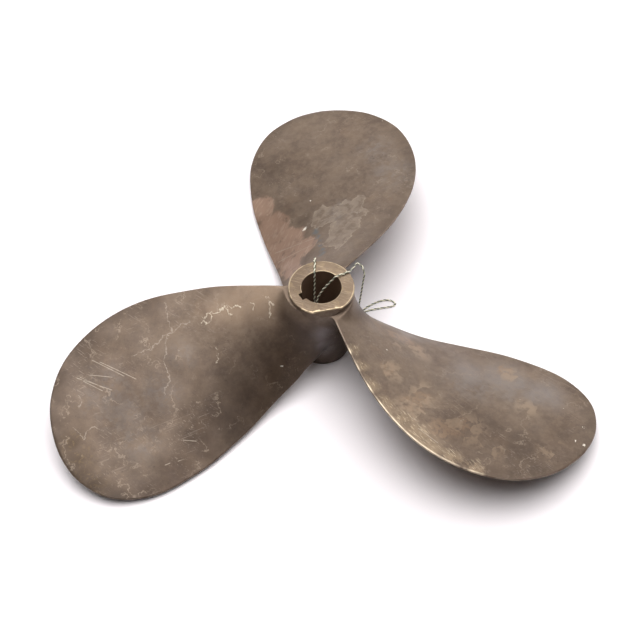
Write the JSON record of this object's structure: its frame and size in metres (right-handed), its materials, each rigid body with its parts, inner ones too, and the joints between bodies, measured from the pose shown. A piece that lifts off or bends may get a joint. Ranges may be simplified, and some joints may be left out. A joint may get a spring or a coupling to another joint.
{
  "type": "boat propeller",
  "caption": "Fixed-pitch left-handed boat propeller: broad twisted blades on a hub with a tapered, keyed bore, in aged bronze, with a length of twine looped through it.",
  "frame": {"origin": "on the shaft axis at the casting's centre of mass", "axes": "+Z along the shaft axis towards the hub's large end, where the shaft enters; one blade lies 76.5 degrees round from +X towards +Y"},
  "size_m": [0.4085, 0.3764, 0.0772],
  "materials": {
    "bronze": "aged cast bronze, ground smooth, dull brown-grey patina with scratches, worn edges and stains",
    "twine": "thin two-strand twine, off-white twisted with dark green"
  },
  "bodies": {
    "root": {"propeller_casting": "bronze", "twine": "twine", "twine_bow": "twine", "twine_bow_knot": "twine", "twine_stopper_knot": "twine"}
  },
  "joints": []
}
